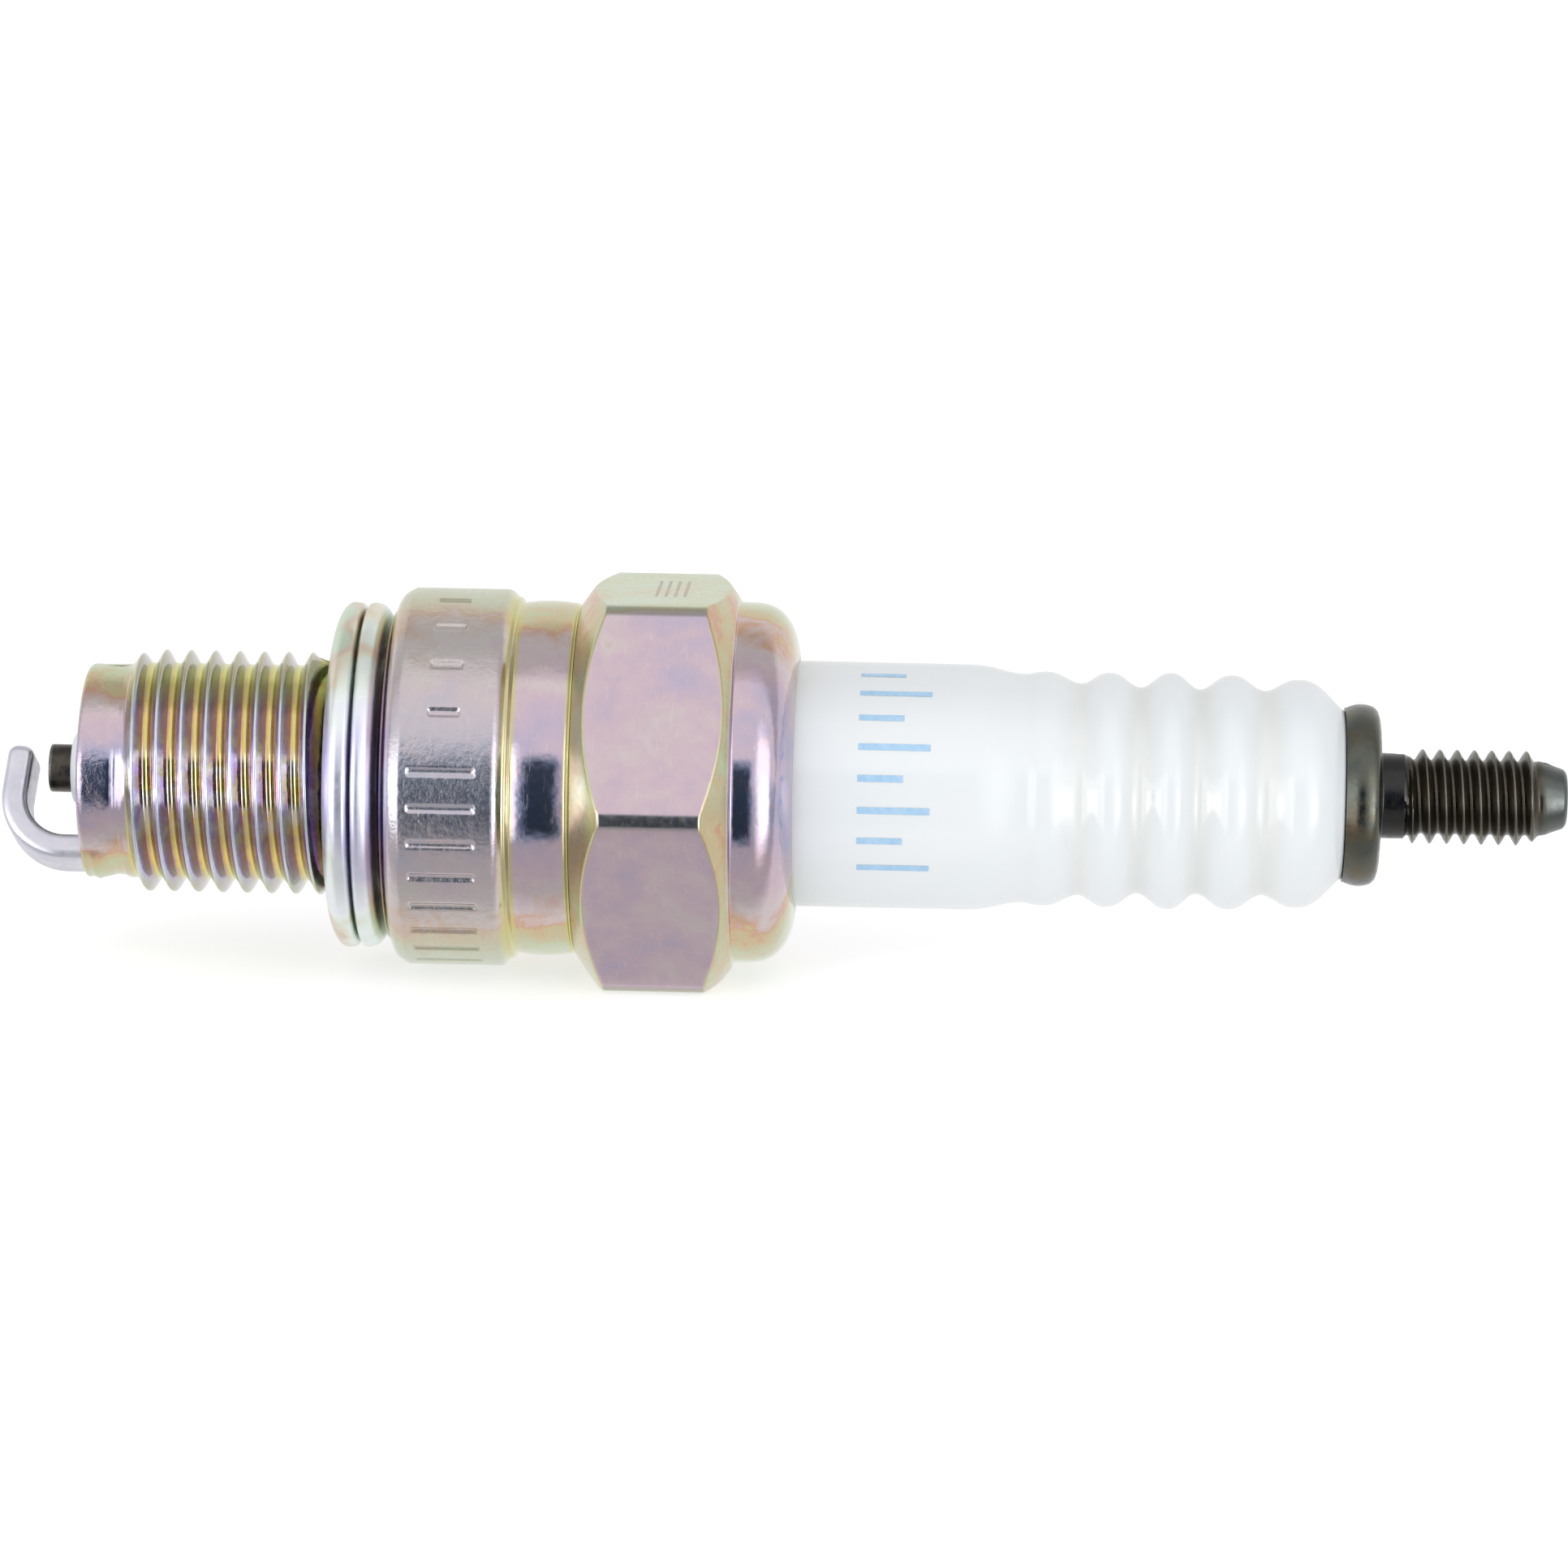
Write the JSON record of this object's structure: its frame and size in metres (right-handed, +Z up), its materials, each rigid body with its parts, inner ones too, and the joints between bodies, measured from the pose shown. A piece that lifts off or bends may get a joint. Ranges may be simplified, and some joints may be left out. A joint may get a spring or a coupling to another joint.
{
  "type": "spark plug",
  "caption": "Motorcycle spark plug: threaded hexagon steel shell with folded gasket, ribbed ceramic insulator, threaded terminal stud, centre electrode and bent ground electrode.",
  "frame": {"origin": "on the plug's axis in the plane of the shell's seat, which the gasket rests against", "axes": "+X along the axis towards the terminal stud, +Z up with the plug lying on one flat of its hexagon, +Y to the side"},
  "size_m": [0.0637, 0.018, 0.0158],
  "materials": {
    "plated_steel": "zinc plated with a pale yellow, pink and green passivation film",
    "insulator_ceramic": "glossy white glazed alumina",
    "stud_steel": "dark olive-grey oxide",
    "electrode_nickel": "dark nickel alloy",
    "core_copper": "copper, hidden",
    "strap_nickel": "satin nickel alloy",
    "gasket_steel": "bright plated folded steel",
    "seal_glass": "copper-loaded sealing glass, hidden",
    "resistor_mass": "carbon and glass resistor mass, hidden",
    "packing_steel": "mild steel, hidden",
    "packing_talc": "pressed talc, hidden"
  },
  "bodies": {
    "plug": {"metal_shell": "plated_steel", "insulator": "insulator_ceramic", "terminal_stud": "stud_steel", "centre_electrode": "electrode_nickel", "copper_core": "core_copper", "ground_electrode": "strap_nickel", "upper_glass_seal": "seal_glass", "resistor": "resistor_mass", "lower_glass_seal": "seal_glass", "plate_packing": "packing_steel", "lower_packing_ring": "packing_steel", "talc_packing": "packing_talc", "upper_packing_ring": "packing_steel"},
    "gasket": {"gasket": "gasket_steel"}
  },
  "joints": [
    {"name": "gasket_float", "type": "slide", "parent": "plug", "child": "gasket", "axis": [1, 0, 0], "range_m": [-0.0004, 0.00015]}
  ]
}
